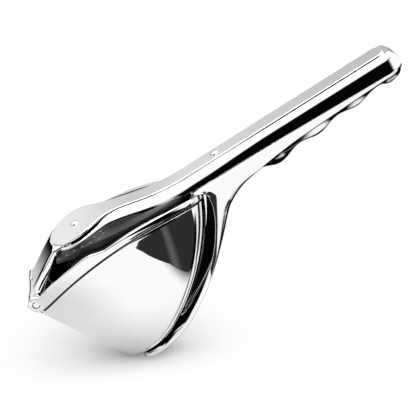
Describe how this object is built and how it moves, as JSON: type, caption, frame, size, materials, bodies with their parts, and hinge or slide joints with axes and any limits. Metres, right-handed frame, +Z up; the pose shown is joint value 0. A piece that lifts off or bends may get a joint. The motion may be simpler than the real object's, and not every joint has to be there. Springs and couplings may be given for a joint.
{
  "type": "lemon squeezer",
  "caption": "Chrome hand-held lever squeezer: a hull-shaped bowl with a pouring slot on a horned lower grip, and a hinged upper lever with a dark presser under it.",
  "frame": {"origin": "on the floor plane under the middle of the tool; the rounded corner under the nose of the bowl touches that plane", "axes": "+X toward the end of the grips, +Z up, -Y toward the viewer; the mid-plane of the tool is the XZ plane and the grips rise toward +X"},
  "size_m": [0.1775, 0.0458, 0.1542],
  "materials": {
    "chrome": "polished",
    "steel": "satin",
    "presser": "satin"
  },
  "bodies": {
    "base": {"bowl": "chrome", "lower_handle": "chrome", "hinge_pin": "chrome", "horn_rivets": "steel", "strainer": "steel"},
    "lever": {"upper_lever": "chrome", "lever_cover": "chrome", "cover_rivets": "chrome", "presser": "presser", "presser_screw": "steel"}
  },
  "joints": [
    {"name": "lever_hinge", "type": "hinge", "parent": "base", "child": "lever", "pos_m": [-0.08431, 0, 0.04338], "axis": [0, -1, 0], "range_deg": [0, 60]}
  ]
}
